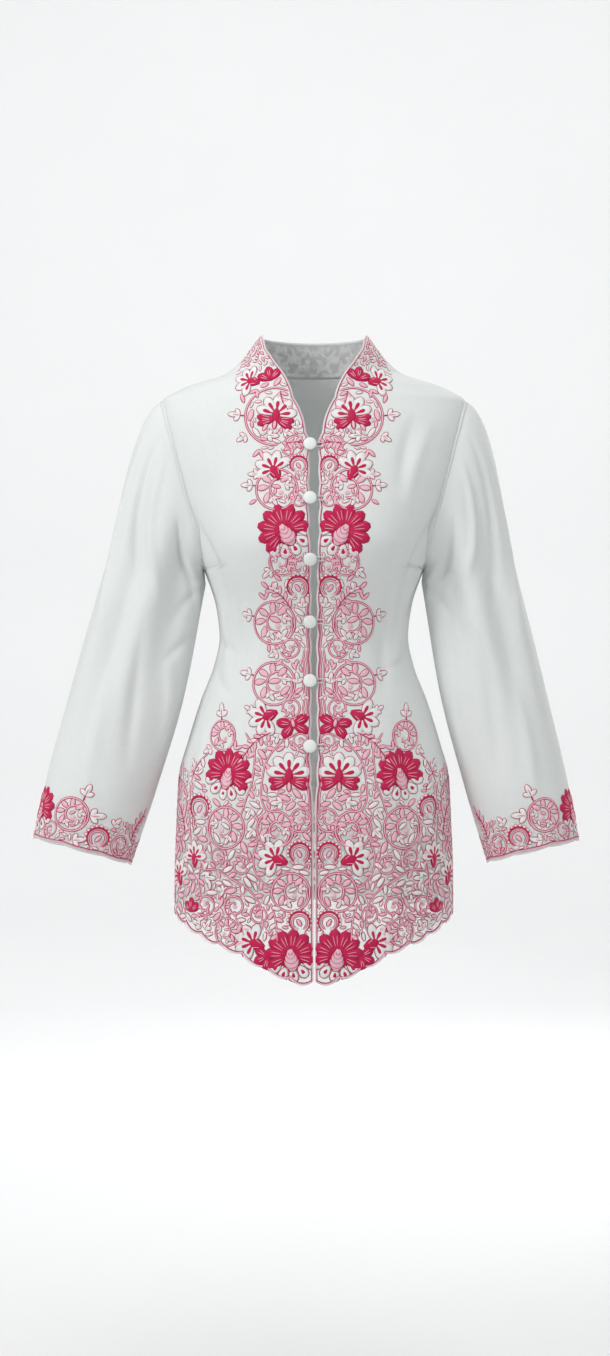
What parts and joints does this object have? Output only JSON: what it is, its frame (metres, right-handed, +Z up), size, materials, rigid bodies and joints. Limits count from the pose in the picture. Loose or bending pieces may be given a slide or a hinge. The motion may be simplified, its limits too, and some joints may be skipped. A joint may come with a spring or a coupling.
{
  "type": "kebaya blouse",
  "caption": "Long-sleeved kebaya blouse in its worn form, with a standing V collar, a buttoned front and a pointed, scalloped hem with an embroidered border.",
  "frame": {"origin": "middle of the neck, level with the foot of the collar at the shoulders, where the wearer holds the blouse up", "axes": "+Z up, the front faces -Y, the wearer's left is +X"},
  "size_m": [0.6766, 0.2611, 0.7952],
  "materials": {
    "voile": "matte, sheer",
    "covered_button": "matte",
    "rouleau": "matte"
  },
  "bodies": {
    "root": {"front_left": "voile", "front_right": "voile", "back": "voile", "collar_band": "voile", "sleeve_left": "voile", "sleeve_right": "voile", "button_1": "covered_button", "button_2": "covered_button", "button_3": "covered_button", "button_4": "covered_button", "button_5": "covered_button", "button_6": "covered_button", "loop_1": "rouleau", "loop_2": "rouleau", "loop_3": "rouleau", "loop_4": "rouleau", "loop_5": "rouleau", "loop_6": "rouleau"}
  },
  "joints": []
}
